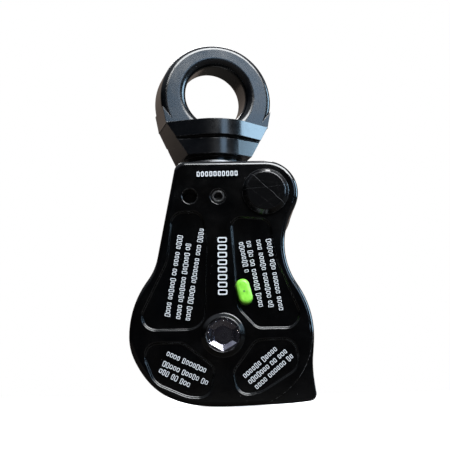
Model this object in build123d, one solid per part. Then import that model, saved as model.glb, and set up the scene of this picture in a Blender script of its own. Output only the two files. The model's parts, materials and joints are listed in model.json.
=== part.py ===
from build123d import *
import os
from math import acos, atan2, cos, degrees, hypot, radians, sin, sqrt

# Double sheave block with a swivel eye and two opening side plates.
# Millimetres. The origin is the sheave axle's centre on the middle plane, +Z points to the eye,
# +X to the pivot side, and the front side plate lies on the -Y side.

# ---- layers from the middle plane outwards (distances along Y) ----
WEB_HALF = 2.5
SHEAVE_INNER_Y = 3.1
SHEAVE_WIDTH = 14.6
SHEAVE_MID_Y = SHEAVE_INNER_Y + SHEAVE_WIDTH / 2
SHEAVE_OUTER_Y = SHEAVE_INNER_Y + SHEAVE_WIDTH
BLOCK_HALF = 18.4
PLATE_INNER_Y = 18.5
PLATE_THICK = 7.0
PLATE_OUTER_Y = PLATE_INNER_Y + PLATE_THICK
FIT = 0.02
GAP = 0.05

# ---- side plate outline; the frame's outline is the same, a little smaller ----
FRAME_SCALE = 0.985
PIVOT = (16.3, 52.0)
PIVOT_LOBE_R = 12.0
PLATE_TOP_Z = PIVOT[1] + PIVOT_LOBE_R
BLOCK_TOP_Z = PLATE_TOP_Z * FRAME_SCALE
RIGHT_LOBE_R = 32.7
LEFT_LOBE_R = 33.7
NECK_R = 26.0
LEFT_NECK_R = 20.0
LEFT_EDGE_POINT = (-22.8, 31.6)
LEFT_EDGE_LEAN = 10.9
TOP_CORNER_R = 4.0
CORNER_TIP = (33.3, -23.2)
CORNER_TIP_R = 2.4
PLATE_EDGE_R = 1.7
PATH_R = hypot(*PIVOT)

# ---- plate face details ----
POCKET_DEPTH = 1.0
POCKET_FLOOR_R = 0.5
POCKET_LIP_R = 0.45
CORNER_STEP_CENTRE = (5.5, 0.6)
CORNER_STEP_R = 26.6
CORNER_STEP_DEPTH = 0.8
HUB_R = (7.8, 6.4)
HUB_PROUD = 1.1
HUB_FOOT_R = 0.4
HUB_RIM_R = 0.25
INSERT_R = 5.95
RECESS_R = (5.75, 3.9)
RECESS_DEPTH = 1.1
RECESS_FLOOR_R = 3.4
RECESS_FLOOR_DEPTH = 0.25
SMALL_HOLE_R = 2.5
SMALL_HOLE_BEVEL = 0.4
PIN_HOLE = (-11.5, 50.8)
LOCK_HOLE = (-1.1, 50.6)

# ---- axle slot and swing stop on the plate's inner face ----
SLOT_DEPTH = 3.2
SLOT_HALF = 5.9
STUB_R = 5.6
STOP_RADIUS = 9.0
STOP_PIN_R = 1.5
SWING_DEG = 110.0
STOP_GROOVE_DEPTH = 2.0

# ---- release button and latch ----
BUTTON_CENTRE = (7.8, 15.3)
BUTTON_LENGTH = 9.3
BUTTON_WIDTH = 5.0
BUTTON_LEAN = 14.0
BUTTON_PROUD = 2.9
LATCH_TRAVEL = 2.2
COVER_THICK = 0.75
SLIDER_Y = 19.4
SLIDER_THICK = 1.4
SLIDER_BOTTOM_Z = 8.2
SLIDER_TOP_Z = 18.0
SLIDER_X = (-2.2, 11.0)
TONGUE_HALF = 1.3
TONGUE_TIP_Z = 4.15
TONGUE_SLOPE = 0.31
FLANGE_TOP_Y = 23.65
FLANGE_THICK = 0.5
WEDGE_TIP_Y = 20.75
WEDGE_TIP_Z = 13.8
WEDGE_LOW_Z = 13.2
WEDGE_HALF = 1.5
SPRING_X = 4.4
SPRING_TOP_Z = 26.0
SPRING_R = 0.85
SPRING_WIRE_R = 0.17
SPRING_Y = 20.4
COVER_X = (-2.6, 14.6)
COVER_Z = (7.4, 28.0)
COVER_SCREWS = ((0.2, 25.6), (12.8, 25.6), (12.8, 9.4))

# ---- axle, sheaves and bearings ----
AXLE_R = 7.5
TREAD_R = 19.0
FLANGE_R = 24.0
GROOVE_R = 6.6
BEARING_R = 14.0
BEARING_HALF = 3.5
RACE_INNER_R = 9.3
RACE_OUTER_R = 12.2
BALL_CIRCLE_R = 10.75
BALL_R = 1.95
BALL_COUNT = 12
AXLE_RING_Y = 17.2

# ---- swivel ----
SWIVEL_X = -3.0
SWIVEL_REST_TURN = 14.0
STEM_R = 9.0
STEM_GROOVE_R = 5.8
CAVITY_R = 14.0
CAVITY_TOP_Z = 47.0
CHANNEL_R = 33.6
LEG_BOTTOM_Z = 29.0
EYE_Z = 93.3
EYE_R = 22.1
EYE_HALF = 8.0
EYE_EDGE_R = 2.2
EYE_HOLE_Z = 94.8
EYE_HOLE_R = 12.1
EYE_HOLE_ROUND = 3.2
COLLAR_Z = (69.4, 75.4, 76.6, 82.65)
COLLAR_R = (15.8, 17.3)
COLLAR_GROOVE_DEPTH = 1.2
COLLAR_FOOT_HALF = 12.6
COLLAR_TOP_HALF = 20.4
COLLAR_EDGE_HALF = 7.9
SHOULDER_REACH = 4.2
NECK_Z = 67.65
THRUST_BALL_R = 1.6
THRUST_BALL_Z = 43.4
THRUST_CIRCLE_R = 11.6
THRUST_BALLS = 16


def cyl_y(x, z, r, y0, y1):
    """Cylinder along Y from y0 to y1."""
    height = y1 - y0
    centre = Location((x, (y0 + y1) / 2, z), (90, 0, 0))
    return centre * Cylinder(r, height)


def cyl_z(x, r, z0, z1):
    """Upright cylinder from z0 to z1 at (x, 0)."""
    return Location((x, 0, (z0 + z1) / 2)) * Cylinder(r, z1 - z0)


def box(x0, x1, y0, y1, z0, z1):
    """Box between two corners."""
    middle = ((x0 + x1) / 2, (y0 + y1) / 2, (z0 + z1) / 2)
    return Location(middle) * Box(x1 - x0, y1 - y0, z1 - z0)


def ring_y(x, z, r_in, r_out, y0, y1):
    """Flat ring around an axis along Y."""
    return cyl_y(x, z, r_out, y0, y1) - cyl_y(x, z, r_in, y0 - 1, y1 + 1)


def ring_z(x, r_in, r_out, z0, z1):
    """Flat ring around the upright axis at (x, 0)."""
    return cyl_z(x, r_out, z0, z1) - cyl_z(x, r_in, z0 - 1, z1 + 1)


def slab(face, y0, y1):
    """Extrude a sketch drawn in X and Z from -y0 to -y1, towards the front."""
    return Plane.XZ.offset(y0) * extrude(face, amount=y1 - y0)


def face_from(edges):
    """Flat face inside a closed run of edges."""
    return make_face(Wire(edges))


def plate_outline():
    """Outline shared by the side plates and the middle web, drawn clockwise from the top left."""
    lean = radians(LEFT_EDGE_LEAN)
    along = (sin(lean), cos(lean))
    outward = (-cos(lean), sin(lean))
    top_left_x = LEFT_EDGE_POINT[0] + (PLATE_TOP_Z - LEFT_EDGE_POINT[1]) * along[0] / along[1]

    # right neck: an arc that touches the pivot lobe and the axle lobe
    near = PIVOT_LOBE_R + NECK_R
    far = RIGHT_LOBE_R + NECK_R
    base = (far ** 2 - near ** 2 + PATH_R ** 2) / (2 * PATH_R)
    side = sqrt(far ** 2 - base ** 2)
    ux, uz = PIVOT[0] / PATH_R, PIVOT[1] / PATH_R
    neck = (base * ux + side * uz, base * uz - side * ux)
    pivot_touch = degrees(atan2(neck[1] - PIVOT[1], neck[0] - PIVOT[0]))
    axle_touch = degrees(atan2(neck[1], neck[0]))

    # left neck: an arc that touches the straight left edge and the axle lobe
    start = [LEFT_EDGE_POINT[i] + LEFT_NECK_R * outward[i] for i in (0, 1)]
    reach = LEFT_LOBE_R + LEFT_NECK_R
    dot = start[0] * along[0] + start[1] * along[1]
    shift = -dot + sqrt(dot ** 2 - start[0] ** 2 - start[1] ** 2 + reach ** 2)
    left = tuple(start[i] + shift * along[i] for i in (0, 1))
    edge_foot = tuple(LEFT_EDGE_POINT[i] + shift * along[i] for i in (0, 1))
    left_touch = degrees(atan2(left[1], left[0]))
    left_end = -LEFT_EDGE_LEAN

    top = Line((top_left_x, PLATE_TOP_Z), (PIVOT[0], PLATE_TOP_Z))
    lobe = CenterArc(PIVOT, PIVOT_LOBE_R, 90, pivot_touch - 90)
    right_neck = CenterArc(neck, NECK_R, pivot_touch + 180, axle_touch - pivot_touch)
    right_lobe = CenterArc((0, 0), RIGHT_LOBE_R, axle_touch, -axle_touch)
    right_side = Spline(
        (RIGHT_LOBE_R, 0), (32.0, -10.0), CORNER_TIP, tangents=((0, -1), (0.15, -1)),
    )
    bottom = Spline(
        CORNER_TIP, (14.0, -24.8), (-1.0, -25.2), (-14.5, -23.6), (-24.4, -18.5), (-31.0, -10.0),
        (-LEFT_LOBE_R, 0), tangents=((-1, -0.2), (0, 1)),
    )
    left_lobe = CenterArc((0, 0), LEFT_LOBE_R, 180, left_touch - 180)
    left_neck = CenterArc(left, LEFT_NECK_R, left_touch - 180, left_end - left_touch + 180)
    left_side = Line(edge_foot, (top_left_x, PLATE_TOP_Z))
    outline = face_from([
        top, lobe, right_neck, right_lobe, right_side, bottom, left_lobe, left_neck, left_side,
    ])
    corner = outline.vertices().group_by(Axis.Y)[-1].sort_by(Axis.X)[0]
    return fillet(corner, TOP_CORNER_R)


def blank(face, y0, y1):
    """Extruded outline with its lower right tip rounded."""
    body = slab(face, y0, y1)
    tip = body.edges().filter_by(Axis.Y).sort_by_distance((CORNER_TIP[0], 0, CORNER_TIP[1]))[0]
    return fillet(tip, CORNER_TIP_R)


def rounded_polygon(corners):
    """Polygon from (x, z, corner radius) triples."""
    shape = make_face(Polyline([(x, z) for x, z, _ in corners], close=True))
    for x, z, radius in corners:
        nearest = shape.vertices().sort_by_distance((x, z, 0))[0]
        shape = fillet(nearest, radius)
    return shape


POCKETS = (
    ((-18.0, 45.0, 4.5), (-7.5, 45.0, 4.0), (-5.2, 35.0, 8.0), (-6.5, 2.2, 6.5),
     (-32.0, 2.0, 5.0), (-19.8, 27.0, 12.0)),
    ((3.4, 43.0, 3.5), (17.3, 42.0, 4.0), (19.9, 27.0, 15.0), (30.0, 2.3, 5.0),
     (12.3, 2.3, 4.0), (5.6, 9.6, 6.0)),
    ((-27.2, -2.6, 4.0), (-14.5, -2.4, 6.0), (-3.0, -11.5, 4.0), (-4.8, -22.0, 4.5),
     (-12.5, -21.8, 12.0), (-24.6, -16.6, 8.0), (-28.0, -8.0, 5.0)),
    ((3.5, -12.9, 3.5), (5.2, -21.8, 4.5), (13.5, -20.2, 12.0), (27.6, -11.5, 6.0),
     (25.3, -1.4, 5.0), (11.8, -1.8, 4.5)),
)


def sector(centre, r_in, r_out, start_deg, end_deg):
    """Flat ring sector between two angles."""
    size = end_deg - start_deg

    def at(radius, angle):
        turn = radians(angle)
        return (centre[0] + radius * cos(turn), centre[1] + radius * sin(turn))

    return face_from([
        CenterArc(centre, r_out, start_deg, size),
        Line(at(r_out, end_deg), at(r_in, end_deg)),
        CenterArc(centre, r_in, end_deg, -size),
        Line(at(r_in, start_deg), at(r_out, start_deg)),
    ])


def axle_slot():
    """Curved track on the inner face that lets the plate swing off the axle's end."""
    axle_angle = degrees(atan2(-PIVOT[1], -PIVOT[0])) + 360
    track = sector(PIVOT, PATH_R - SLOT_HALF, PATH_R + SLOT_HALF, axle_angle, axle_angle - 50)
    bottom = PLATE_INNER_Y + SLOT_DEPTH
    return slab(track, PLATE_INNER_Y - 1, bottom) + cyl_y(0, 0, SLOT_HALF, -bottom, -PLATE_INNER_Y + 1)


def stop_groove():
    """Curved groove on the inner face that the stop pin runs in."""
    half = STOP_PIN_R + 0.1
    end_angle = 180 - SWING_DEG
    bottom = PLATE_INNER_Y + STOP_GROOVE_DEPTH
    track = sector(PIVOT, STOP_RADIUS - half, STOP_RADIUS + half, 180, end_angle)
    groove = slab(track, PLATE_INNER_Y - 1, bottom)
    for angle in (180, end_angle):
        x = PIVOT[0] + STOP_RADIUS * cos(radians(angle))
        z = PIVOT[1] + STOP_RADIUS * sin(radians(angle))
        groove += cyl_y(x, z, half, -bottom, -PLATE_INNER_Y + 1)
    return groove


def button_slot(length, width, y0, y1):
    """Pill-shaped prism that leans like the release button."""
    pill = Location((*BUTTON_CENTRE, 0), (0, 0, 90 + BUTTON_LEAN)) * SlotOverall(length, width)
    return slab(pill, y0, y1)


def latch_room():
    """Space cut for the button, slider, spring, cover and cover screws."""
    inner = PLATE_INNER_Y
    cover_bottom = inner + COVER_THICK + 2 * GAP
    slider_bottom = SLIDER_Y + SLIDER_THICK + 2 * GAP
    top_z = SLIDER_TOP_Z + LATCH_TRAVEL + 0.2
    room = box(COVER_X[0] - GAP, COVER_X[1] + GAP, -cover_bottom, 1 - inner, COVER_Z[0] - GAP,
               COVER_Z[1] + GAP)
    room += box(SLIDER_X[0] - 0.1, SLIDER_X[1] + 0.1, -slider_bottom, 1 - inner,
                SLIDER_BOTTOM_Z - 0.1, top_z)
    room += box(-TONGUE_HALF - 0.1, TONGUE_HALF + 0.1, -slider_bottom, 1 - inner, 0, SLIDER_BOTTOM_Z)
    room += button_slot(BUTTON_LENGTH + 1.7, BUTTON_WIDTH + 1.7, inner + 1, FLANGE_TOP_Y + GAP)
    room += button_slot(BUTTON_LENGTH + 0.3, BUTTON_WIDTH + 0.3, inner + 1, PLATE_OUTER_Y + 1)
    spring_half = SPRING_R + SPRING_WIRE_R + 0.1
    room += box(SPRING_X - spring_half, SPRING_X + spring_half, -SPRING_Y - spring_half, 1 - inner,
                SLIDER_TOP_Z, SPRING_TOP_Z + GAP)
    for x, z in COVER_SCREWS:
        room += cyl_y(x, z, 0.6 + FIT, -22.0, -inner)
    return room


def hub():
    """Low bevelled boss that stands on the plate's face around the axle insert."""
    foot, top = HUB_R
    boss = extrude(Circle(foot), amount=HUB_PROUD, taper=degrees(atan2(foot - top, HUB_PROUD)))
    boss = fillet(boss.faces().sort_by(Axis.Z)[-1].edges(), HUB_RIM_R)
    return Plane.XZ.offset(PLATE_OUTER_Y) * boss


def side_plate():
    """Front side plate: pocketed outer face, tracks and latch room on the inner face."""
    plate = blank(plate_outline(), PLATE_INNER_Y, PLATE_OUTER_Y)
    plate = fillet(plate.faces().sort_by(Axis.Y)[0].outer_wire().edges(), PLATE_EDGE_R)

    corner = Rectangle(60, 60, align=(Align.MIN, Align.MAX))
    corner = Location((*CORNER_STEP_CENTRE, 0)) * corner
    corner -= Location((*CORNER_STEP_CENTRE, 0)) * Circle(CORNER_STEP_R)
    plate -= slab(corner, PLATE_OUTER_Y - CORNER_STEP_DEPTH, PLATE_OUTER_Y + 1)

    for corners in POCKETS:
        floor = PLATE_OUTER_Y - POCKET_DEPTH
        tool = slab(rounded_polygon(corners), floor, PLATE_OUTER_Y + 1)
        tool = fillet(tool.faces().sort_by(Axis.Y)[-1].edges(), POCKET_FLOOR_R)
        plate -= tool
    face = plate.faces().filter_by(Axis.Y).sort_by(Axis.Y)[0]
    plate = fillet([edge for wire in face.inner_wires() for edge in wire.edges()], POCKET_LIP_R)

    plate += hub()
    circles = plate.edges().filter_by(GeomType.CIRCLE)
    plate = fillet([edge for edge in circles if abs(edge.radius - HUB_R[0]) < FIT], HUB_FOOT_R)
    plate -= cyl_y(0, 0, INSERT_R + FIT, -PLATE_OUTER_Y - HUB_PROUD - 1, -PLATE_INNER_Y)
    plate -= axle_slot()
    plate -= stop_groove()
    plate -= latch_room()
    plate -= cyl_y(*PIVOT, 6.0 + FIT, -PLATE_OUTER_Y - 1, 1 - PLATE_INNER_Y)
    for centre in (PIN_HOLE, LOCK_HOLE):
        plate -= cyl_y(*centre, SMALL_HOLE_R, -PLATE_OUTER_Y - 1, 1 - PLATE_INNER_Y)
        mouth = Location((*centre, 0)) * Circle(SMALL_HOLE_R + SMALL_HOLE_BEVEL)
        plate -= Plane.XZ.offset(PLATE_OUTER_Y) * extrude(mouth, amount=-SMALL_HOLE_BEVEL, taper=45)
    return plate


def axle_insert():
    """Hardened insert pressed into the plate over the axle's end, with a six-sided dish."""
    inner = PLATE_INNER_Y + SLOT_DEPTH
    outer = PLATE_OUTER_Y + HUB_PROUD - 0.15
    floor = outer - RECESS_DEPTH
    insert = cyl_y(0, 0, INSERT_R, -outer, -inner)
    insert -= cyl_y(0, 0, RECESS_FLOOR_R, -floor, RECESS_FLOOR_DEPTH - floor)
    return insert - loft([
        Plane.XZ.offset(outer + 0.01) * RegularPolygon(RECESS_R[0], 6, rotation=30),
        Plane.XZ.offset(floor) * RegularPolygon(RECESS_R[1], 6, rotation=30),
    ])


def lock_screw():
    """Hollow-head set screw in the right small hole."""
    screw = cyl_y(*LOCK_HOLE, SMALL_HOLE_R - 0.05, -PLATE_OUTER_Y + 0.5, -PLATE_INNER_Y - 1.0)
    screw = chamfer(screw.edges(), 0.3)
    socket = Location((*LOCK_HOLE, 0)) * RegularPolygon(1.75, 6)
    return screw - slab(socket, PLATE_OUTER_Y - 3.0, PLATE_OUTER_Y)


def pivot_bush():
    """Bearing bush pressed into the side plate around the pivot bolt."""
    return ring_y(*PIVOT, 4.0 + GAP, 6.0, -PLATE_OUTER_Y + 0.05, -PLATE_INNER_Y)


def latch_slider():
    """Flat slider whose tongue enters the notch in the axle's end."""
    inner, outer = -SLIDER_Y, -SLIDER_Y - SLIDER_THICK
    slider = box(*SLIDER_X, outer, inner, SLIDER_BOTTOM_Z, SLIDER_TOP_Z)
    slope = TONGUE_SLOPE * TONGUE_HALF
    tongue = make_face(Polyline([
        (-TONGUE_HALF, TONGUE_TIP_Z + slope), (TONGUE_HALF, TONGUE_TIP_Z - slope),
        (TONGUE_HALF, SLIDER_BOTTOM_Z + 1), (-TONGUE_HALF, SLIDER_BOTTOM_Z + 1),
    ], close=True))
    slider += slab(tongue, SLIDER_Y, SLIDER_Y + SLIDER_THICK)
    low = WEDGE_LOW_Z - LATCH_TRAVEL - 0.4
    ramp = WEDGE_TIP_Z - WEDGE_TIP_Y + GAP
    y_in, y_out = -SLIDER_Y + 0.5, -SLIDER_Y - SLIDER_THICK - 0.5
    window = make_face(Polyline([
        (y_in, low), (y_out, low), (y_out, ramp - y_out), (y_in, ramp - y_in),
    ], close=True))
    x0 = BUTTON_CENTRE[0] - WEDGE_HALF - 0.3
    x1 = BUTTON_CENTRE[0] + WEDGE_HALF + 0.3
    return slider - Plane.YZ.offset(x0) * extrude(window, amount=x1 - x0)


def release_button():
    """Pill-shaped button with a retaining flange and a wedge that drives the slider."""
    top_y = PLATE_OUTER_Y + BUTTON_PROUD
    button = button_slot(BUTTON_LENGTH, BUTTON_WIDTH, FLANGE_TOP_Y, top_y)
    button = fillet(button.faces().sort_by(Axis.Y)[0].edges(), 1.3)
    flange_low = FLANGE_TOP_Y - FLANGE_THICK
    button += button_slot(BUTTON_LENGTH + 1.3, BUTTON_WIDTH + 1.3, flange_low, FLANGE_TOP_Y)
    rise = flange_low + 0.1 - WEDGE_TIP_Y
    wedge = make_face(Polyline([
        (-WEDGE_TIP_Y, WEDGE_LOW_Z), (-WEDGE_TIP_Y, WEDGE_TIP_Z),
        (-WEDGE_TIP_Y - rise, WEDGE_TIP_Z + rise), (-WEDGE_TIP_Y - rise, WEDGE_LOW_Z),
    ], close=True))
    x0 = BUTTON_CENTRE[0] - WEDGE_HALF
    button += Plane.YZ.offset(x0) * extrude(wedge, amount=2 * WEDGE_HALF)
    return button


def latch_spring():
    """Coil spring that pushes the slider towards the axle."""
    length = SPRING_TOP_Z - SLIDER_TOP_Z - 2 * (SPRING_WIRE_R + GAP)
    path = Helix(pitch=length / 7, height=length, radius=SPRING_R)
    wire = Plane(origin=path @ 0, z_dir=path % 0) * Circle(SPRING_WIRE_R)
    spring = sweep(wire, path=path, is_frenet=True)
    return Location((SPRING_X, -SPRING_Y, SLIDER_TOP_Z + SPRING_WIRE_R + GAP)) * spring


def latch_cover():
    """Thin cover that keeps the slider and spring in the plate."""
    outer = PLATE_INNER_Y + GAP + COVER_THICK
    cover = box(*COVER_X, -outer, -PLATE_INNER_Y - GAP, *COVER_Z)
    cover -= box(BUTTON_CENTRE[0] - WEDGE_HALF - 0.3, BUTTON_CENTRE[0] + WEDGE_HALF + 0.3,
                 -outer - 1, 0, WEDGE_LOW_Z - 0.4, WEDGE_TIP_Z + LATCH_TRAVEL)
    for x, z in COVER_SCREWS:
        cover -= cyl_y(x, z, 0.65, -outer - 1, 0)
        cover -= cyl_y(x, z, 1.15, -outer + 0.3, 0)
    return cover


def cover_screws():
    """Three flat-head screws of the latch cover."""
    screws = []
    for x, z in COVER_SCREWS:
        head = cyl_y(x, z, 1.1, -PLATE_INNER_Y - 0.48, -PLATE_INNER_Y - GAP)
        shank = cyl_y(x, z, 0.6, -21.6, -PLATE_INNER_Y - 0.4)
        slot = box(x - 1.2, x + 1.2, -PLATE_INNER_Y - 0.25, -PLATE_INNER_Y, z - 0.15, z + 0.15)
        screws.append(head + shank - slot)
    return Compound(screws)


def centre_frame():
    """Top block and middle web in one machined piece."""
    frame_face = scale(plate_outline(), by=FRAME_SCALE)
    web = blank(frame_face, -WEB_HALF, WEB_HALF)
    web = chamfer(web.faces().filter_by(Axis.Y).edges(), 0.5)
    block = slab(frame_face, -BLOCK_HALF, BLOCK_HALF)
    block -= cyl_y(0, 0, CHANNEL_R, -BLOCK_HALF - 1, BLOCK_HALF + 1)
    block -= box(-60, 60, -BLOCK_HALF - 1, BLOCK_HALF + 1, -60, LEG_BOTTOM_Z)
    legs = block.faces().filter_by(Axis.Z).group_by(Axis.Z)[0]
    block = fillet([edge for leg in legs for edge in leg.edges().filter_by(Axis.Y)], 1.6)
    frame = block + web
    frame -= cyl_y(0, 0, AXLE_R + FIT, -5, 5)
    frame -= cyl_z(SWIVEL_X, 11.0 + FIT, 50, PLATE_TOP_Z + 5) - cyl_z(SWIVEL_X, 12, 40, 54.5)
    frame -= cyl_z(SWIVEL_X, STEM_R + GAP, 40, 60)
    frame -= cyl_z(SWIVEL_X, CAVITY_R, 20, CAVITY_TOP_Z) - box(-60, 60, -60, 60, 0, LEG_BOTTOM_Z)
    frame -= cyl_y(*PIVOT, 4.0 + FIT, -30, 30)
    frame -= cyl_y(*PIN_HOLE, SMALL_HOLE_R + FIT, -30, 30)
    stop_x = PIVOT[0] - STOP_RADIUS
    for side in (-1, 1):
        face_y = side * BLOCK_HALF
        frame -= cyl_y(*PIVOT, 7.3, min(face_y, face_y - side), max(face_y, face_y - side))
        deep_y = side * (BLOCK_HALF - 4.0)
        frame -= cyl_y(stop_x, PIVOT[1], STOP_PIN_R + FIT, min(face_y, deep_y), max(face_y, deep_y))
    return frame


def sheave_axle():
    """Axle through both sheaves, with a notched stub at each end for the latch tongue."""
    shoulder = PLATE_INNER_Y - 0.1
    stub = PLATE_INNER_Y + SLOT_DEPTH - 0.15
    axle = cyl_y(0, 0, AXLE_R, -shoulder, shoulder) + cyl_y(0, 0, STUB_R, -stub, stub)
    notch_in, notch_out = SLIDER_Y - 0.1, SLIDER_Y + SLIDER_THICK + 0.1
    for side in (-1, 1):
        near, far = sorted((side * notch_in, side * notch_out))
        axle -= box(-TONGUE_HALF - 0.1, TONGUE_HALF + 0.1, near, far, 3.3, STUB_R + 1)
        near, far = sorted((side * AXLE_RING_Y, side * (AXLE_RING_Y + 1.0)))
        axle -= ring_y(0, 0, 7.0, AXLE_R + 1, near, far)
    return axle


def axle_rings():
    """Two open retaining rings in the axle's grooves."""
    rings = []
    for side in (-1, 1):
        near, far = sorted((side * (AXLE_RING_Y + 0.05), side * (AXLE_RING_Y + 0.95)))
        ring = ring_y(0, 0, 7.0 + GAP, 8.9, near, far)
        rings.append(ring - box(-2.0, 2.0, near - 1, far + 1, -10, -5))
    return Compound(rings)


def spacers(y_near, y_far):
    """One spacer tube on each side of the web."""
    tubes = [ring_y(0, 0, AXLE_R + FIT, 9.1, -y_far, -y_near)]
    tubes.append(ring_y(0, 0, AXLE_R + FIT, 9.1, y_near, y_far))
    return Compound(tubes)


def ball_positions():
    """Centres of the sheave bearing's balls on the front side."""
    for index in range(BALL_COUNT):
        turn = radians(360 / BALL_COUNT * index)
        yield Location((BALL_CIRCLE_R * cos(turn), -SHEAVE_MID_Y, BALL_CIRCLE_R * sin(turn)))


def race_track(tube_r):
    """Ring-shaped path of the sheave bearing's balls."""
    return Location((0, -SHEAVE_MID_Y, 0), (90, 0, 0)) * Torus(BALL_CIRCLE_R, tube_r)


def bearing_inner_race():
    """Bearing race on the axle."""
    mid = -SHEAVE_MID_Y
    race = ring_y(0, 0, AXLE_R + FIT, RACE_INNER_R, mid - BEARING_HALF, mid + BEARING_HALF)
    return race - race_track(BALL_R + 0.04)


def bearing_outer_race():
    """Bearing race in the sheave."""
    mid = -SHEAVE_MID_Y
    race = ring_y(0, 0, RACE_OUTER_R, BEARING_R, mid - BEARING_HALF, mid + BEARING_HALF)
    return race - race_track(BALL_R + 0.04)


def bearing_balls():
    """Balls of one sheave bearing."""
    return Compound([place * Sphere(BALL_R) for place in ball_positions()])


def bearing_cage():
    """Cage that spaces the bearing's balls."""
    mid = -SHEAVE_MID_Y
    cage = ring_y(0, 0, 10.2, 11.3, mid - 2.6, mid + 2.6)
    for index in range(BALL_COUNT):
        turn = Location((0, mid, 0), (0, 1, 0), 360 / BALL_COUNT * index)
        cage -= turn * Location((BALL_CIRCLE_R, 0, 0), (0, 90, 0)) * Cylinder(BALL_R + 0.06, 4)
    return cage


def bearing_shields():
    """Thin shields on both sides of the balls."""
    shields = []
    for mid in (-SHEAVE_MID_Y - 3.2, -SHEAVE_MID_Y + 3.2):
        shields.append(ring_y(0, 0, RACE_INNER_R + 0.15, RACE_OUTER_R - FIT, mid - 0.2, mid + 0.2))
    return Compound(shields)


def sheave():
    """Grooved wheel with a stepped bore for the bearing and its retaining ring."""
    inner, outer = -SHEAVE_INNER_Y, -SHEAVE_OUTER_Y
    mid = -SHEAVE_MID_Y
    wheel = cyl_y(0, 0, FLANGE_R, outer, inner)
    wheel = fillet(wheel.edges(), 0.35)
    groove = Location((0, mid, 0), (90, 0, 0)) * Torus(TREAD_R + GROOVE_R, GROOVE_R)
    wheel -= groove
    wheel -= cyl_y(0, 0, 12.4, outer - 1, inner + 1)
    wheel -= cyl_y(0, 0, BEARING_R + FIT, outer - 1, mid + BEARING_HALF + GAP)
    ring_y1 = mid - BEARING_HALF - GAP
    wheel -= cyl_y(0, 0, 14.9, ring_y1 - 1.1, ring_y1)
    return wheel


def sheave_ring():
    """Open retaining ring that holds the bearing in the sheave."""
    top = -SHEAVE_MID_Y - BEARING_HALF - 0.1
    ring = ring_y(0, 0, 12.7, 14.8, top - 1.0, top)
    return ring - box(-3.0, 3.0, top - 2, top + 1, -16, -10)


def pivot_bolt():
    """Pivot bolt with a raised bevelled disc head at the front."""
    face = PLATE_OUTER_Y + GAP
    head = cyl_y(*PIVOT, 8.5, -face - 1.0, -face)
    crown = Plane.XZ.offset(face + 0.9) * (Location((*PIVOT, 0)) * Circle(8.5))
    head += extrude(crown, amount=2.1, taper=35)
    head = fillet(head.faces().sort_by(Axis.Y)[0].edges(), 0.5)
    return head + cyl_y(*PIVOT, 4.0, -face - 0.1, 8.0) + cyl_y(*PIVOT, 2.5, 7.9, 18.0)


def pivot_nut():
    """Barrel nut with a matching disc head at the rear."""
    face = PLATE_OUTER_Y + GAP
    head = cyl_y(*PIVOT, 8.5, face, face + 1.0)
    crown = Plane.XZ.offset(-face - 0.9) * (Location((*PIVOT, 0)) * Circle(8.5))
    head += extrude(crown, amount=-2.1, taper=35)
    head = fillet(head.faces().sort_by(Axis.Y)[-1].edges(), 0.5)
    nut = head + cyl_y(*PIVOT, 4.0, 8.1, face + 0.1)
    return nut - cyl_y(*PIVOT, 2.5 + FIT, 8.0, 18.5)


def pivot_washers():
    """Friction washers between the block and the side plates."""
    front = ring_y(*PIVOT, 4.1, 7.2, -PLATE_INNER_Y + 0.05, -PLATE_INNER_Y + 1.0)
    rear = ring_y(*PIVOT, 4.1, 7.2, PLATE_INNER_Y - 1.0, PLATE_INNER_Y - 0.05)
    return Compound([front, rear])


def stop_pins():
    """Dowels in the block that run in the plates' curved stop grooves."""
    x = PIVOT[0] - STOP_RADIUS
    length_in, length_out = BLOCK_HALF - 3.9, PLATE_INNER_Y + STOP_GROOVE_DEPTH - 0.2
    front = cyl_y(x, PIVOT[1], STOP_PIN_R, -length_out, -length_in)
    rear = cyl_y(x, PIVOT[1], STOP_PIN_R, length_in, length_out)
    return Compound([front, rear])


def swivel_pin():
    """Cross pin that sits in the stem's groove and keeps the eye captive."""
    return cyl_y(*PIN_HOLE, SMALL_HOLE_R, -BLOCK_HALF + 0.6, BLOCK_HALF - 0.6)


def swivel_bush():
    """Flanged bush around the swivel stem."""
    bush = ring_z(SWIVEL_X, STEM_R + GAP, 11.0, 54.6, BLOCK_TOP_Z + 0.1)
    return bush + ring_z(SWIVEL_X, STEM_R + GAP, 13.0, BLOCK_TOP_Z + FIT, BLOCK_TOP_Z + 1.2)


def swivel_washer():
    """Wear washer under the eye's neck."""
    washer = ring_z(SWIVEL_X, STEM_R + GAP, 13.0, BLOCK_TOP_Z + 1.25, NECK_Z - GAP)
    return fillet(washer.edges().group_by(Axis.Z)[-1].sort_by(SortBy.RADIUS)[-1], 0.5)


def thrust_track(tube_r):
    """Ring-shaped path of the swivel bearing's balls."""
    return Location((SWIVEL_X, 0, THRUST_BALL_Z)) * Torus(THRUST_CIRCLE_R, tube_r)


def swivel_upper_race():
    """Thrust race against the block."""
    race = ring_z(SWIVEL_X, 9.4, 13.9, THRUST_BALL_Z + 1.1, CAVITY_TOP_Z - GAP)
    return race - thrust_track(THRUST_BALL_R + 0.03)


def swivel_lower_race():
    """Thrust race on the swivel nut."""
    race = ring_z(SWIVEL_X, STEM_R + FIT, 13.6, THRUST_BALL_Z - 3.2, THRUST_BALL_Z - 1.1)
    return race - thrust_track(THRUST_BALL_R + 0.03)


def thrust_places():
    """Centres of the swivel bearing's balls."""
    for index in range(THRUST_BALLS):
        turn = radians(360 / THRUST_BALLS * index)
        x = SWIVEL_X + THRUST_CIRCLE_R * cos(turn)
        yield Location((x, THRUST_CIRCLE_R * sin(turn), THRUST_BALL_Z))


def swivel_balls():
    """Balls of the swivel thrust bearing."""
    return Compound([place * Sphere(THRUST_BALL_R) for place in thrust_places()])


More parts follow.
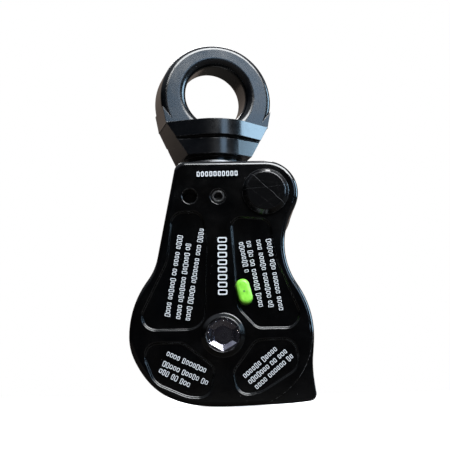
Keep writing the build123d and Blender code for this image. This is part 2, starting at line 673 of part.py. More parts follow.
def swivel_cage():
    """Flat cage of the swivel thrust bearing."""
    cage = ring_z(SWIVEL_X, 9.5, 13.7, THRUST_BALL_Z - 0.5, THRUST_BALL_Z + 0.5)
    for place in thrust_places():
        cage -= place * Sphere(THRUST_BALL_R + 0.06)
    return cage


def swivel_nut():
    """Round nut on the end of the stem that carries the load through the bearing."""
    nut = ring_z(0, 8.0 + FIT, 12.6, 34.9, THRUST_BALL_Z - 3.25)
    nut = chamfer(nut.edges().group_by(Axis.Z)[0].sort_by(SortBy.RADIUS)[-1], 0.6)
    return nut - Location((0, 0, 37.4), (0, 90, 0)) * Cylinder(1.0 + FIT, 40)


def nut_roll_pin():
    """Pin through the nut and stem that stops the nut from turning off."""
    return Location((0, 0, 37.4), (0, 90, 0)) * Cylinder(1.0, 24.4)


def swivel_cap():
    """Thin cap that closes the bearing cavity."""
    return cyl_z(SWIVEL_X, CAVITY_R - FIT, 33.95, 34.6)


def eye_ring():
    """Flat ring with rounded edges and a round hole that opens towards both faces."""
    ring = cyl_y(0, EYE_Z, EYE_R, -EYE_HALF, EYE_HALF)
    ring = fillet(ring.edges().filter_by(GeomType.CIRCLE), EYE_EDGE_R)
    ring -= cyl_y(0, EYE_HOLE_Z, EYE_HOLE_R, -EYE_HALF - 1, EYE_HALF + 1)
    rims = ring.edges().filter_by(GeomType.CIRCLE)
    rims = [edge for edge in rims if abs(edge.radius - EYE_HOLE_R) < 0.01]
    return fillet(rims, EYE_HOLE_ROUND)


def eye_shoulders():
    """Sharp-edged corners where the ring runs into the collar's ends."""
    top_z = COLLAR_Z[3]
    reach = hypot(COLLAR_TOP_HALF, EYE_Z - top_z)
    angle = atan2(top_z - EYE_Z, COLLAR_TOP_HALF) + acos(EYE_R / reach)
    touch = (EYE_R * cos(angle), EYE_Z + EYE_R * sin(angle))
    shoulders = []
    for side in (-1, 1):
        corner = make_face(Polyline([
            (side * COLLAR_TOP_HALF, top_z - 0.5), (side * COLLAR_TOP_HALF, top_z),
            (side * touch[0], touch[1]), (side * (COLLAR_TOP_HALF - SHOULDER_REACH), top_z - 0.5),
        ], close=True))
        shoulders.append(slab(corner, -EYE_HALF, EYE_HALF))
    return shoulders[0] + shoulders[1]


def collar_lip(radius, z0, z1):
    """Lip of the collar: round at the front and back, with flats that run to its ends."""
    plan = make_hull((Circle(radius) + Rectangle(2 * COLLAR_TOP_HALF, 2 * COLLAR_EDGE_HALF)).edges())
    return Location((0, 0, z0)) * extrude(plan, amount=z1 - z0)


def eye_collar():
    """Two lips with a groove between them, narrowed towards the foot by the sloping flanks."""
    foot_z, lower_top, upper_foot, top_z = COLLAR_Z
    lower = collar_lip(COLLAR_R[0], foot_z, lower_top)
    upper = collar_lip(COLLAR_R[1], upper_foot, top_z)
    core = collar_lip(COLLAR_R[0] - COLLAR_GROOVE_DEPTH, foot_z + 0.5, top_z - 0.5)
    flanks = make_face(Polyline([
        (-COLLAR_FOOT_HALF, foot_z), (COLLAR_FOOT_HALF, foot_z), (COLLAR_TOP_HALF, top_z),
        (-COLLAR_TOP_HALF, top_z),
    ], close=True))
    return (lower + core + upper) & slab(flanks, -30, 30)


def swivel_eye():
    """Ring, shoulders, collar, neck and stem, made as one piece."""
    foot_z = COLLAR_Z[0]
    eye = eye_ring() + eye_shoulders() + eye_collar()
    eye += cyl_z(0, 11.5, NECK_Z, foot_z + 0.1)
    eye += cyl_z(0, STEM_R, THRUST_BALL_Z - 3.2, NECK_Z + 0.1)
    eye += cyl_z(0, 8.0, 34.9, THRUST_BALL_Z - 3.0)
    eye -= ring_z(0, STEM_GROOVE_R, STEM_R + 1, PIN_HOLE[1] - 2.65, PIN_HOLE[1] + 2.65)
    eye -= Location((0, 0, 37.4), (0, 90, 0)) * Cylinder(1.0 + FIT, 40)
    return eye


def turned_with_eye(shape):
    """Place a swivelling piece on the swivel axis at its turned rest position."""
    return Location((SWIVEL_X, 0, 0)) * Rot(0, 0, SWIVEL_REST_TURN) * shape


def save(name, shape):
    """Write one node's STEP file."""
    export_step(shape, os.path.join("parts", name + ".step"))


def save_pair(name, shape):
    """Write a front piece and its mirrored rear twin."""
    save(name + "_front", shape)
    save(name + "_rear", mirror(shape, about=Plane.XZ))


def main():
    os.makedirs("parts", exist_ok=True)
    web_gap = WEB_HALF + GAP
    race_in = SHEAVE_MID_Y - BEARING_HALF - GAP
    race_out = SHEAVE_MID_Y + BEARING_HALF + GAP
    save("centre_frame", centre_frame())
    save("sheave_axle", sheave_axle())
    save("axle_rings", axle_rings())
    save("inner_spacers", spacers(web_gap, race_in))
    save("outer_spacers", spacers(race_out, AXLE_RING_Y - GAP))
    save("pivot_bolt", pivot_bolt())
    save("pivot_nut", pivot_nut())
    save("pivot_washers", pivot_washers())
    save("stop_pins", stop_pins())
    save("swivel_pin", swivel_pin())
    save("swivel_bush", swivel_bush())
    save("swivel_upper_race", swivel_upper_race())
    save("swivel_cap", swivel_cap())
    save("swivel_balls", swivel_balls())
    save("swivel_cage", swivel_cage())
    save("swivel_lower_race", swivel_lower_race())
    save("swivel_nut", turned_with_eye(swivel_nut()))
    save("nut_roll_pin", turned_with_eye(nut_roll_pin()))
    save("swivel_washer", swivel_washer())
    save("swivel_eye", turned_with_eye(swivel_eye()))
    save_pair("bearing_inner_race", bearing_inner_race())
    save_pair("bearing_outer_race", bearing_outer_race())
    save_pair("bearing_balls", bearing_balls())
    save_pair("bearing_cage", bearing_cage())
    save_pair("bearing_shields", bearing_shields())
    save_pair("sheave", sheave())
    save_pair("sheave_ring", sheave_ring())
    save_pair("side_plate", side_plate())
    save_pair("pivot_bush", pivot_bush())
    save_pair("axle_insert", axle_insert())
    save_pair("lock_screw", lock_screw())
    save_pair("latch_slider", latch_slider())
    save_pair("latch_spring", latch_spring())
    save_pair("latch_cover", latch_cover())
    save_pair("cover_screws", cover_screws())
    save_pair("release_button", release_button())


main()
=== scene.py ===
import json
import math
import random

import bmesh
import bpy
from mathutils import Matrix, Vector
from mathutils.bvhtree import BVHTree


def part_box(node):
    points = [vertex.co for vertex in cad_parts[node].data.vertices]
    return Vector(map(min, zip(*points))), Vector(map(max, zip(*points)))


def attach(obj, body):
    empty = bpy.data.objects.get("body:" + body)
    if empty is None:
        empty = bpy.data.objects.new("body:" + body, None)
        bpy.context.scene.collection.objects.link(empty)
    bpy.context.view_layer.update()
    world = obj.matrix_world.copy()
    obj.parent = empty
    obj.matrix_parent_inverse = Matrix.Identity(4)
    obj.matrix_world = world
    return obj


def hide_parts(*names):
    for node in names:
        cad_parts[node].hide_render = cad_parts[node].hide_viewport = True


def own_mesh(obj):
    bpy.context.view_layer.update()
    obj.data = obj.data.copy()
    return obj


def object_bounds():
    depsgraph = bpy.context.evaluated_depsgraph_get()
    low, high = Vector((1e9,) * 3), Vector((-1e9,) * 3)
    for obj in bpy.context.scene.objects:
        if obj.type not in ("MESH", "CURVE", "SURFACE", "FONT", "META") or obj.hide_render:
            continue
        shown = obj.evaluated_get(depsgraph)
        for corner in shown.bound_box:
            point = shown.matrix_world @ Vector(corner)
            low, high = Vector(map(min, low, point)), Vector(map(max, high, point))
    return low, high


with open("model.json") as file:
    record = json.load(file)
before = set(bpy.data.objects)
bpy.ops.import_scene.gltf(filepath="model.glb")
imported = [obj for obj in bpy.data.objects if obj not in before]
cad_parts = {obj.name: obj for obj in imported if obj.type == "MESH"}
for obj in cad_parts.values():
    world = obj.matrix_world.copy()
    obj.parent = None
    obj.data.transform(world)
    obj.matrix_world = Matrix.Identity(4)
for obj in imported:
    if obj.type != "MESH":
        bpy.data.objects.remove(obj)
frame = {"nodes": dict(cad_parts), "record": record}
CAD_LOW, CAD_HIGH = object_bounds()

MM = 0.001
# direction of each plate's outer face along Y
OUTWARD = {"front": -1, "rear": 1}

PLATE_FACE_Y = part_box("side_plate_front")[0].y
POCKET_DEPTH = 1.0 * MM
POCKET_FLOOR_Y = PLATE_FACE_Y + POCKET_DEPTH

PIVOT_LOW, PIVOT_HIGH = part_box("pivot_bolt")
PIVOT_X = (PIVOT_LOW.x + PIVOT_HIGH.x) / 2
PIVOT_Z = (PIVOT_LOW.z + PIVOT_HIGH.z) / 2


# ---------------------------------------------------------------- node helpers
def add_node(tree, kind, inputs=None, **settings):
    """Adds a node to a tree, sets its properties, and fills or links its inputs."""
    node = tree.nodes.new(kind)
    for key, value in settings.items():
        setattr(node, key, value)
    for key, value in (inputs or {}).items():
        if isinstance(value, bpy.types.NodeSocket):
            tree.links.new(value, node.inputs[key])
        else:
            node.inputs[key].default_value = value
    return node


def mix_node(tree, factor, colour_a, colour_b):
    """Mixes two colours in a tree and returns the result's socket."""
    node = add_node(tree, "ShaderNodeMix", {"Factor": factor, 6: colour_a, 7: colour_b},
                    data_type="RGBA")
    return node.outputs[2]


def rgb(red, green, blue):
    """An opaque colour."""
    return (red, green, blue, 1.0)


class Maker:
    """Builds one node material step by step."""

    BEVEL_SAMPLES = 6
    # dot product of the rounded and the flat normal, where an edge starts and where it is full
    EDGE_DOTS = (0.995, 0.80)

    def __init__(self, name):
        self.material = bpy.data.materials.new(name)
        self.material.use_nodes = True
        self.tree = self.material.node_tree
        self.tree.nodes.clear()
        self.place = self.add("ShaderNodeTexCoord").outputs["Object"]

    def add(self, kind, inputs=None, **settings):
        """Adds a node to this material."""
        return add_node(self.tree, kind, inputs, **settings)

    def noise(self, size_mm, detail=3.0, rough=0.5, place=None):
        """Noise whose features are about size_mm across."""
        node = self.add("ShaderNodeTexNoise", {
            "Vector": place or self.place, "Scale": 1 / (size_mm * MM), "Detail": detail,
            "Roughness": rough,
        })
        return node.outputs["Fac"]

    def cells(self, size_mm):
        """Distance to the nearest centre of cells of about size_mm, for specks."""
        node = self.add("ShaderNodeTexVoronoi", {
            "Vector": self.place, "Scale": 1 / (size_mm * MM),
        })
        return node.outputs["Distance"]

    def stretched(self, x, y, z):
        """Object place scaled along each axis, for directional marks."""
        node = self.add("ShaderNodeMapping", {"Vector": self.place, "Scale": (x, y, z)})
        return node.outputs["Vector"]

    def vector(self, operation, a, b=(0.0, 0.0, 0.0), output="Vector"):
        """One step of vector arithmetic."""
        node = self.add("ShaderNodeVectorMath", {0: a, 1: b}, operation=operation)
        return node.outputs[output]

    def math(self, operation, a, b=0.0):
        """One step of arithmetic on values."""
        node = self.add("ShaderNodeMath", {0: a, 1: b}, operation=operation)
        return node.outputs["Value"]

    def remap(self, value, low, high, out_low=0.0, out_high=1.0):
        """Linear remap of a value, clamped."""
        node = self.add("ShaderNodeMapRange", {
            "Value": value, "From Min": low, "From Max": high, "To Min": out_low,
            "To Max": out_high,
        })
        return node.outputs["Result"]

    def mix(self, factor, colour_a, colour_b):
        """Mixes two colours."""
        return mix_node(self.tree, factor, colour_a, colour_b)

    def soft_normal(self, radius_mm):
        """Normal that rounds sharp edges over a small radius."""
        node = self.add("ShaderNodeBevel", {"Radius": radius_mm * MM}, samples=self.BEVEL_SAMPLES)
        return node.outputs["Normal"]

    def edge(self, radius_mm):
        """1 along sharp edges, 0 on flat ground."""
        sharp = self.add("ShaderNodeNewGeometry").outputs["Normal"]
        dot = self.vector("DOT_PRODUCT", self.soft_normal(radius_mm), sharp, output="Value")
        return self.remap(dot, *self.EDGE_DOTS)

    def bump(self, height, strength, distance_mm, normal=None):
        """Normal with bumps from a height value, on top of another normal if one is given."""
        inputs = {"Height": height, "Strength": strength, "Distance": distance_mm * MM}
        if normal is not None:
            inputs["Normal"] = normal
        return self.add("ShaderNodeBump", inputs).outputs["Normal"]

    def finish(self, **inputs):
        """Adds the surface shader and the output, and returns the material."""
        named = {key.replace("_", " "): value for key, value in inputs.items()}
        shader = self.add("ShaderNodeBsdfPrincipled", named)
        self.add("ShaderNodeOutputMaterial", {"Surface": shader.outputs[0]})
        return self.material


# ---------------------------------------------------------------- materials
# The black coats' own colours are very dark: most of what is seen of them is reflected light.
COAT_DUST = rgb(0.5, 0.5, 0.52)
COAT_WORN = rgb(0.42, 0.42, 0.44)
COAT_IOR = 1.6


def dark_coat(name, tint_a, tint_b, rough, grain_mm, grain_depth, wear, fleck):
    """Thin hard coat: faint tint patches, fine grain, dust specks and worn edges."""
    make = Maker(name)
    patches = make.remap(make.noise(14.0, 2.0), 0.35, 0.65)
    colour = make.mix(patches, rgb(*tint_a), rgb(*tint_b))
    grain = make.noise(grain_mm, 2.0, 0.6)
    colour = make.mix(make.remap(grain, 0.55, 0.8, 0.0, 0.35), colour,
                      rgb(fleck, fleck * 1.05, fleck * 1.2))
    dust = make.remap(make.cells(1.9), 0.045, 0.02)
    rare = make.remap(make.noise(6.0, 1.0), 0.52, 0.58)
    specks = make.math("MULTIPLY", make.math("MULTIPLY", dust, rare), 0.7)
    colour = make.mix(specks, colour, COAT_DUST)
    worn = make.math("MULTIPLY", make.edge(0.35), make.remap(make.noise(1.6, 4.0), 0.42, 0.62))
    colour = make.mix(make.math("MULTIPLY", worn, wear), colour, COAT_WORN)
    smudge = make.remap(make.noise(9.0, 4.0, 0.65), 0.3, 0.7, rough - 0.04, rough + 0.06)
    normal = make.bump(grain, 0.5, grain_depth, make.soft_normal(0.3))
    return make.finish(Base_Color=colour, Roughness=smudge, Normal=normal, IOR=COAT_IOR)


def stained(make, stain_mm, tint_a, tint_b):
    """Metal colour that drifts between two tones in small stains."""
    stain = make.noise(stain_mm, 4.0, 0.6)
    return make.mix(make.remap(stain, 0.35, 0.7), rgb(*tint_a), rgb(*tint_b))


def turned_metal(name, tint_a, tint_b, rough, ring_mm=0.25):
    """Metal turned around the Y axis: fine rings and faint stains."""
    make = Maker(name)
    flat = make.vector("MULTIPLY", make.place, (1.0, 0.0, 1.0))
    radius = make.vector("LENGTH", flat, output="Value")
    rings = make.add("ShaderNodeTexNoise", {
        "W": radius, "Scale": 1 / (ring_mm * MM), "Detail": 2.0,
    }, noise_dimensions="1D").outputs["Fac"]
    gloss = make.remap(rings, 0.3, 0.7, rough - 0.05, rough + 0.12)
    normal = make.bump(rings, 0.35, 0.02, make.soft_normal(0.15))
    return make.finish(Base_Color=stained(make, 2.2, tint_a, tint_b), Metallic=1.0,
                       Roughness=gloss, Normal=normal)


def ground_metal(name, tint_a, tint_b, rough):
    """Plain machined metal: fine directional grain, small stains and bright edges."""
    make = Maker(name)
    lines = make.noise(0.3, 3.0, 0.6, make.stretched(0.15, 1.0, 1.0))
    bright = make.math("MULTIPLY", make.edge(0.2), 0.5)
    colour = make.mix(bright, stained(make, 2.8, tint_a, tint_b), rgb(0.8, 0.8, 0.8))
    gloss = make.remap(lines, 0.3, 0.7, rough - 0.05, rough + 0.1)
    normal = make.bump(lines, 0.3, 0.02, make.soft_normal(0.12))
    return make.finish(Base_Color=colour, Metallic=1.0, Roughness=gloss, Normal=normal)


def green_plastic():
    """Moulded lime plastic: faint mottling, fine moulding texture, slight translucency."""
    make = Maker("button_green_moulded")
    mottle = make.noise(1.8, 3.0)
    colour = make.mix(make.remap(mottle, 0.35, 0.65), rgb(0.20, 0.62, 0.045),
                      rgb(0.28, 0.74, 0.075))
    rubbed = make.math("MULTIPLY", make.edge(0.5), 0.35)
    colour = make.mix(rubbed, colour, rgb(0.45, 0.88, 0.22))
    gloss = make.remap(mottle, 0.3, 0.7, 0.26, 0.4)
    normal = make.bump(make.noise(0.18, 2.0), 0.25, 0.02)
    return make.finish(Base_Color=colour, Roughness=gloss, Normal=normal, Subsurface_Weight=0.15,
                       Subsurface_Radius=(0.002, 0.003, 0.001), Subsurface_Scale=0.4)


# lean in degrees, distance from the centre and width in mm, strength
SCRATCHES = (
    (-43.0, 1.1, 0.10, 0.14), (-40.0, -2.9, 0.05, 0.04), (5.0, 1.2, 0.07, 0.06),
    (-8.0, 3.3, 0.05, 0.03), (30.0, -3.8, 0.05, 0.03), (-76.0, 4.4, 0.05, 0.03),
)
SCRATCH_WOBBLE = 0.5 * MM
# share of a scratch's width that has its full strength
SCRATCH_CORE = 0.3


def scratched_black():
    """Black bolt head with one long diagonal scratch and a few faint ones."""
    make = Maker("pivot_black_scratched")
    centre = make.vector("ADD", make.place, (-PIVOT_X, 0.0, -PIVOT_Z))
    drift = make.math("SUBTRACT", make.noise(3.0, 1.0), 0.5)
    wobble = make.math("MULTIPLY", drift, SCRATCH_WOBBLE)
    scratches = 0.0
    for lean_deg, offset, width, strength in SCRATCHES:
        lean = math.radians(lean_deg)
        across = make.vector("DOT_PRODUCT", centre, (-math.sin(lean), 0.0, math.cos(lean)),
                             output="Value")
        across = make.math("SUBTRACT", make.math("ADD", across, wobble), offset * MM)
        line = make.remap(make.math("ABSOLUTE", across), width * MM, width * SCRATCH_CORE * MM,
                          0.0, strength)
        scratches = make.math("MAXIMUM", scratches, line)
    gaps = make.remap(make.noise(1.3, 3.0), 0.38, 0.52, 0.15, 1.0)
    scratches = make.math("MULTIPLY", scratches, gaps)
    colour = make.mix(make.remap(make.noise(4.0), 0.35, 0.65), rgb(0.0006, 0.0006, 0.0008),
                      rgb(0.0012, 0.0012, 0.0014))
    colour = make.mix(scratches, colour, rgb(0.45, 0.45, 0.47))
    worn = make.math("MULTIPLY", make.edge(0.4), make.remap(make.noise(1.2), 0.4, 0.6))
    colour = make.mix(make.math("MULTIPLY", worn, 0.25), colour, rgb(0.30, 0.30, 0.32))
    normal = make.bump(scratches, 0.15, 0.01, make.soft_normal(0.3))
    return make.finish(Base_Color=colour, Roughness=0.16, Normal=normal)


def etched_white():
    """Etched marks: chalky pale grey with an uneven tone."""
    make = Maker("etched_marks_pale")
    tone = make.remap(make.noise(0.35, 3.0, 0.7), 0.3, 0.7)
    colour = make.mix(tone, rgb(0.42, 0.45, 0.48), rgb(0.66, 0.69, 0.73))
    normal = make.bump(make.noise(0.12, 2.0), 0.4, 0.01)
    return make.finish(Base_Color=colour, Roughness=0.8, Normal=normal)


MATERIALS = {
    "plate_black": dark_coat(
        "plate_black_glossy", (0.0005, 0.0004, 0.0004), (0.0003, 0.0004, 0.0006),
        rough=0.12, grain_mm=0.30, grain_depth=0.003, wear=0.30, fleck=0.004),
    "frame_black": dark_coat(
        "frame_black_satin", (0.0025, 0.0022, 0.0022), (0.0017, 0.0020, 0.0028),
        rough=0.30, grain_mm=0.35, grain_depth=0.010, wear=0.35, fleck=0.02),
    "eye_black": dark_coat(
        "eye_black_blasted", (0.0012, 0.0014, 0.0020), (0.0006, 0.0010, 0.0018),
        rough=0.20, grain_mm=0.42, grain_depth=0.014, wear=0.25, fleck=0.016),
    "screw_black": dark_coat(
        "screw_black_oxide", (0.0020, 0.0020, 0.0020), (0.0035, 0.0032, 0.0030),
        rough=0.32, grain_mm=0.30, grain_depth=0.012, wear=0.35, fleck=0.02),
    "pivot_black": scratched_black(),
    "button_green": green_plastic(),
    "insert_steel": turned_metal(
        "insert_steel_turned", (0.30, 0.28, 0.35), (0.44, 0.43, 0.48), rough=0.11),
    "sheave_aluminium": turned_metal(
        "sheave_aluminium_turned", (0.50, 0.51, 0.53), (0.62, 0.63, 0.64),
        rough=0.30, ring_mm=0.35),
    "bearing_steel": ground_metal(
        "bearing_steel_ground", (0.60, 0.60, 0.62), (0.70, 0.70, 0.71), rough=0.14),
    "cage_brass": ground_metal(
        "cage_brass_machined", (0.62, 0.44, 0.16), (0.74, 0.56, 0.24), rough=0.30),
    "bush_bronze": ground_metal(
        "bush_bronze_turned", (0.42, 0.27, 0.12), (0.55, 0.37, 0.18), rough=0.32),
    "spring_steel": ground_metal(
        "spring_steel_oiled", (0.24, 0.23, 0.22), (0.36, 0.35, 0.34), rough=0.30),
    "washer_grey": ground_metal(
        "washer_grey_satin", (0.30, 0.30, 0.31), (0.42, 0.42, 0.43), rough=0.38),
    "plain_steel": ground_metal(
        "plain_steel_machined", (0.48, 0.48, 0.49), (0.62, 0.62, 0.63), rough=0.28),
}
ETCHED_MATERIAL = etched_white()
# darker green of the buttons' moulding marks: painted shade of the mark's rim and hollow
DIMPLE_SHADE_MATERIAL = dark_coat(
    "button_mark_painted_shade", (0.06, 0.26, 0.02), (0.09, 0.33, 0.03),
    rough=0.35, grain_mm=0.30, grain_depth=0.010, wear=0.20, fleck=0.10)


def paint_cad_nodes():
    """Gives every CAD node the finish of its record slot."""
    for entry in frame["record"]["subparts"]:
        node = frame["nodes"][entry["node"]]
        node.data.materials.clear()
        node.data.materials.append(MATERIALS[entry["material_slot"]])


# ---------------------------------------------------------------- piece helpers
def new_piece(name, mesh, material, body):
    """Links a bmesh as a named piece that rides on a body."""
    data = bpy.data.meshes.new(name)
    mesh.to_mesh(data)
    mesh.free()
    data.materials.append(material)
    piece = bpy.data.objects.new(name, data)
    bpy.context.scene.collection.objects.link(piece)
    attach(piece, body)
    return piece


def join_rings(mesh, rings):
    """Joins each ring of vertices to the next one with four-sided faces."""
    for ring, following in zip(rings, rings[1:]):
        for index in range(len(ring)):
            after = (index + 1) % len(ring)
            mesh.faces.new((ring[index], ring[after], following[after], following[index]))


# ---------------------------------------------------------------- etched marks
MARK_PROUD = 0.03 * MM
MARK_SUNK = 0.25 * MM
MARK_ROUNDNESS = 0.6
# side along the row, side across it, and where the corner's arc starts in degrees
CORNERS = ((1, 1, 0), (-1, 1, 90), (-1, -1, 180), (1, -1, 270))
CORNER_STEPS = 4

# share of the pitch that a mark fills
LARGE_FILL = 0.74
SMALL_FILL = (0.66, 0.84)

# fewest and most marks in a group
SMALL_GROUP = (2, 7)
# sizes in mm
SMALL_PITCH = 1.34
SMALL_GAP = 0.80
SMALL_STROKE = 0.23
SMALL_HEIGHTS = (1.5, 1.5, 1.5, 2.0)


def rounded_loop(centre, along, half_length, half_height):
    """Points around a rounded rectangle that lies in a plane across Y."""
    across = Vector((-along.z, 0.0, along.x))
    radius = min(half_length, half_height) * MARK_ROUNDNESS
    loop = []
    for sign_along, sign_across, first_deg in CORNERS:
        corner = centre + along * sign_along * (half_length - radius)
        corner = corner + across * sign_across * (half_height - radius)
        for step in range(CORNER_STEPS + 1):
            turn = math.radians(first_deg + step * 90 / CORNER_STEPS)
            reach = along * math.cos(turn) + across * math.sin(turn)
            loop.append(corner + reach * radius)
    return loop


def add_mark(mesh, centre, along, length, height, stroke, face_y):
    """Adds one hollow rounded mark around a centre, a little proud of a face."""
    outer = rounded_loop(centre, along, length / 2, height / 2)
    inner = rounded_loop(centre, along, length / 2 - stroke, height / 2 - stroke)
    rings = []
    for loop, depth in ((outer, MARK_SUNK), (outer, -MARK_PROUD), (inner, -MARK_PROUD),
                        (inner, MARK_SUNK)):
        rings.append([mesh.verts.new((point.x, face_y + depth, point.z)) for point in loop])
    join_rings(mesh, rings + rings[:1])


def mark_piece(name, mesh):
    """Turns finished marks into a piece on the front plate."""
    bmesh.ops.recalc_face_normals(mesh, faces=mesh.faces)
    return new_piece(name, mesh, ETCHED_MATERIAL, "front_plate")


def large_row(name, start_mm, end_mm, count, height_mm, stroke_mm):
    """Large marks on the plate's face, evenly spaced in a row between X, Z points in mm."""
    mesh = bmesh.new()
    start = Vector((start_mm[0], 0, start_mm[1])) * MM
    end = Vector((end_mm[0], 0, end_mm[1])) * MM
    along = (end - start).normalized()
    pitch = (end - start).length / count
    for index in range(count):
        centre = start + along * pitch * (index + 0.5)
        add_mark(mesh, centre, along, pitch * LARGE_FILL, height_mm * MM, stroke_mm * MM,
                 PLATE_FACE_Y)
    return mark_piece(name, mesh)


def small_rows(name, seed, rows):
    """Small marks on a pocket floor, grouped in rows between X, Z points in mm."""
    draw = random.Random(seed)
    mesh = bmesh.new()
    for (start_x, start_z), (end_x, end_z) in rows:
        start = Vector((start_x, 0, start_z))
        end = Vector((end_x, 0, end_z))
        along = (end - start).normalized()
        total = (end - start).length
        done = SMALL_PITCH / 2
        while done < total:
            for _ in range(draw.randint(*SMALL_GROUP)):
                if done < total:
                    length = SMALL_PITCH * draw.uniform(*SMALL_FILL)
                    height = draw.choice(SMALL_HEIGHTS)
                    add_mark(mesh, (start + along * done) * MM, along, length * MM,
                             height * MM, SMALL_STROKE * MM, POCKET_FLOOR_Y)
                done += SMALL_PITCH
            done += SMALL_GAP
    return mark_piece(name, mesh)


def etched_marks():
    """All the front plate's etched rows, with one piece for each place."""
    large_row("marks_top", (-9.0, 58.7), (6.4, 58.9), 10, 1.9, 0.36)
    large_row("marks_middle", (0.1, 13.9), (0.2, 35.6), 8, 3.4, 0.46)
    small_rows("marks_upper_left", 7, (
        ((-19.9, 6.8), (-14.9, 36.6)),
        ((-16.0, 5.8), (-11.9, 33.9)),
        ((-12.6, 5.2), (-7.2, 38.3)),
    ))
    small_rows("marks_upper_right", 11, (
        ((16.9, 34.6), (21.0, 8.6)),
        ((13.2, 34.4), (17.4, 9.9)),
        ((9.6, 34.0), (13.8, 9.6)),
        ((6.9, 33.6), (8.9, 22.6)),
    ))
    small_rows("marks_lower_left", 13, (
        ((-20.2, -6.1), (-6.2, -12.6)),
        ((-21.6, -9.6), (-6.0, -16.7)),
        ((-22.9, -12.0), (-11.4, -17.9)),
    ))
    small_rows("marks_lower_right", 17, (
        ((7.1, -14.9), (19.3, -4.6)),
        ((8.9, -17.0), (22.1, -6.1)),
        ((11.2, -18.9), (25.0, -7.2)),
    ))


# ---------------------------------------------------------------- rim dots, dimples and springs
RIM_DOT_SEED = 23
RIM_DOT_COUNT = 15
# share of the spacing by which a dot may drift to each side
RIM_DOT_DRIFT = 0.4
# distance from the axle's centre line, and radius, in mm
RIM_DOT_CIRCLE = (4.9, 5.7)
RIM_DOT_SIZE = (0.09, 0.20)
# start of the search for the surface, in metres from the middle plane
RAY_START = 0.1


# the cause of these bright dots is not known; they are drawn as small bumps of brighter steel
def insert_rim_dots():
    """Small bright steel bumps around the rim of each axle insert, seated on its surface."""
    for side, outward in OUTWARD.items():
        draw = random.Random(RIM_DOT_SEED)
        insert = frame["nodes"]["axle_insert_" + side]
        points = [insert.matrix_world @ vertex.co for vertex in insert.data.vertices]
        surface = BVHTree.FromPolygons(points, [face.vertices for face in insert.data.polygons])
        mesh = bmesh.new()
        for index in range(RIM_DOT_COUNT):
            turn = 2 * math.pi * (index + draw.uniform(-RIM_DOT_DRIFT, RIM_DOT_DRIFT)) / RIM_DOT_COUNT
            reach = draw.uniform(*RIM_DOT_CIRCLE) * MM
            start = Vector((reach * math.cos(turn), outward * RAY_START,
                            reach * math.sin(turn)))
            place = surface.ray_cast(start, Vector((0, -outward, 0)))[0]
            bmesh.ops.create_icosphere(mesh, subdivisions=2, radius=draw.uniform(*RIM_DOT_SIZE) * MM,
                                       matrix=Matrix.Translation(place))
        new_piece("insert_rim_dots_" + side, mesh, MATERIALS["bearing_steel"], side + "_plate")


DIMPLE_R = 0.42 * MM
DIMPLE_SIDES = 20
# share of the radius, and height over the button's face in mm
DIMPLE_RINGS = ((1.0, -0.10), (1.0, 0.02), (0.75, 0.05), (0.45, 0.01))


def button_dimples():
    """Small moulding mark at the middle of each button: a low rim around a hollow, in a darker
    green that is painted shade.
    """
    for side, outward in OUTWARD.items():
        low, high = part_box("release_button_" + side)
        face_y = low.y if side == "front" else high.y
        middle_x = (low.x + high.x) / 2
        middle_z = (low.z + high.z) / 2
        mesh = bmesh.new()
        rings = []
        for share, lift in DIMPLE_RINGS:
            ring = []
            for step in range(DIMPLE_SIDES):
                turn = 2 * math.pi * step / DIMPLE_SIDES
                ring.append(mesh.verts.new((middle_x + DIMPLE_R * share * math.cos(turn),
                                            face_y + outward * lift * MM,
                                            middle_z + DIMPLE_R * share * math.sin(turn))))
            rings.append(ring)
        join_rings(mesh, rings)
        mesh.faces.new(rings[-1])
        bmesh.ops.recalc_face_normals(mesh, faces=mesh.faces)
        new_piece("button_mark_" + side, mesh, DIMPLE_SHADE_MATERIAL, side + "_button")


def latch_coils():
    """Latch springs as pieces of their own on each plate, each with its own mesh, in place of the
    CAD springs.
    """
    for side in OUTWARD:
        node = frame["nodes"]["latch_spring_" + side]
        mesh = bmesh.new()
        mesh.from_mesh(node.data)
        coil = new_piece("latch_coil_" + side, mesh, MATERIALS["spring_steel"], side + "_plate")
        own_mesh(coil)
        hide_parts(node.name)


# ---------------------------------------------------------------- stage
WHITE = rgb(1.0, 1.0, 1.0)
FLOOR_GAP = 0.3 * MM
FLOOR_SIZE = 6.0
FLOOR_TONES = (rgb(0.90, 0.90, 0.90), rgb(0.94, 0.94, 0.94))
FLOOR_REFLECTED = rgb(0.030, 0.026, 0.022)
FLOOR_GLOW = 0.85


def stage_floor():
    """Floor under the block: pale for the camera, dark in reflections."""
    bpy.ops.mesh.primitive_plane_add(size=FLOOR_SIZE, location=(0, 0, CAD_LOW.z - FLOOR_GAP))
    floor = bpy.context.object
    floor.name = "floor"
    make = Maker("floor_pale")
    shade = make.mix(make.remap(make.noise(40.0), 0.3, 0.7), *FLOOR_TONES)
    seen = make.add("ShaderNodeLightPath").outputs["Is Camera Ray"]
    floor.data.materials.append(make.finish(
        Base_Color=make.mix(seen, FLOOR_REFLECTED, shade), Roughness=0.8,
        Specular_IOR_Level=0.1, Emission_Color=WHITE,
        Emission_Strength=make.math("MULTIPLY", seen, FLOOR_GLOW)))


BACKDROP = rgb(0.28, 0.23, 0.20)
FRONT_DARK = rgb(0.012, 0.013, 0.015)
CEILING = rgb(0.42, 0.46, 0.52)
# how far back or up a direction points, where the change starts and where it is complete
BACKDROP_FADE = (0.35, 0.90)
CEILING_FADE = (0.35, 0.85)


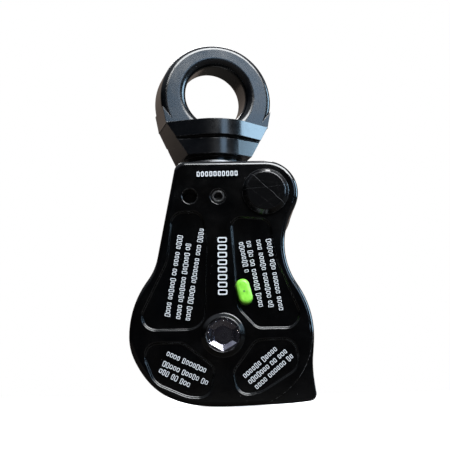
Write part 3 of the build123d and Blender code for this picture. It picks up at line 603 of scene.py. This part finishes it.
def stage_world():
    """White for the camera; for reflections dark, but paler above and behind the block."""
    world = bpy.data.worlds.new("studio")
    bpy.context.scene.world = world
    world.use_nodes = True
    tree = world.node_tree
    tree.nodes.clear()
    toward = add_node(tree, "ShaderNodeSeparateXYZ", {
        "Vector": add_node(tree, "ShaderNodeTexCoord").outputs["Generated"],
    })
    back = add_node(tree, "ShaderNodeMapRange", {
        "Value": toward.outputs["Y"], "From Min": BACKDROP_FADE[0], "From Max": BACKDROP_FADE[1],
    }).outputs["Result"]
    above = add_node(tree, "ShaderNodeMapRange", {
        "Value": toward.outputs["Z"], "From Min": CEILING_FADE[0], "From Max": CEILING_FADE[1],
    }).outputs["Result"]
    around = mix_node(tree, back, mix_node(tree, above, FRONT_DARK, CEILING), BACKDROP)
    seen = add_node(tree, "ShaderNodeLightPath").outputs["Is Camera Ray"]
    shine = add_node(tree, "ShaderNodeBackground", {"Color": mix_node(tree, seen, around, WHITE)})
    add_node(tree, "ShaderNodeOutputWorld", {"Surface": shine.outputs[0]})


LIGHT_AIM = Vector((0, 0, 0.04))


def area_light(name, place, width, height, power, colour):
    """Rectangular soft light at place, aimed at the block, in metres and watts."""
    data = bpy.data.lights.new(name, "AREA")
    data.energy = power
    data.color = colour
    data.shape = "RECTANGLE"
    data.size = width
    data.size_y = height
    light = bpy.data.objects.new(name, data)
    light.location = place
    light.rotation_euler = (LIGHT_AIM - Vector(place)).to_track_quat("-Z", "Y").to_euler()
    bpy.context.scene.collection.objects.link(light)


def stage_lights():
    """Soft boxes: a wide one high in front, two cool ones on the right and one high behind."""
    area_light("key_high_front", (0.32, -0.66, 0.72), 0.80, 0.50, 22, (0.95, 0.98, 1.0))
    area_light("side_right", (0.97, 0.0, 0.34), 0.36, 0.50, 7, (0.50, 0.76, 1.0))
    area_light("front_right", (0.52, -0.86, 0.34), 0.28, 0.28, 0.9, (0.46, 0.70, 1.0))
    area_light("back_high", (-0.10, 0.60, 0.85), 0.60, 0.60, 9, (1.0, 1.0, 1.0))


# place in mm, angles in degrees, clipping in metres
CAMERA_PLACE = (1.30, -375.5, -20.6)
CAMERA_TILT = 9.8
CAMERA_ROLL = 0.85
CAMERA_FIELD = 25.97
CAMERA_NEAR = 0.01
CAMERA_FAR = 20.0


def stage_camera():
    """Camera in front of the block's lower end, looking a little up and slightly rolled."""
    data = bpy.data.cameras.new("camera")
    data.angle = math.radians(CAMERA_FIELD)
    data.clip_start = CAMERA_NEAR
    data.clip_end = CAMERA_FAR
    camera = bpy.data.objects.new("camera", data)
    turn = Matrix.Rotation(math.radians(90 + CAMERA_TILT), 4, "X")
    turn = turn @ Matrix.Rotation(math.radians(-CAMERA_ROLL), 4, "Z")
    camera.matrix_world = Matrix.Translation(Vector(CAMERA_PLACE) * MM) @ turn
    bpy.context.scene.collection.objects.link(camera)
    bpy.context.scene.camera = camera


paint_cad_nodes()
etched_marks()
insert_rim_dots()
button_dimples()
latch_coils()
stage_floor()
stage_world()
stage_lights()
stage_camera()
bpy.context.scene.view_settings.view_transform = "Standard"
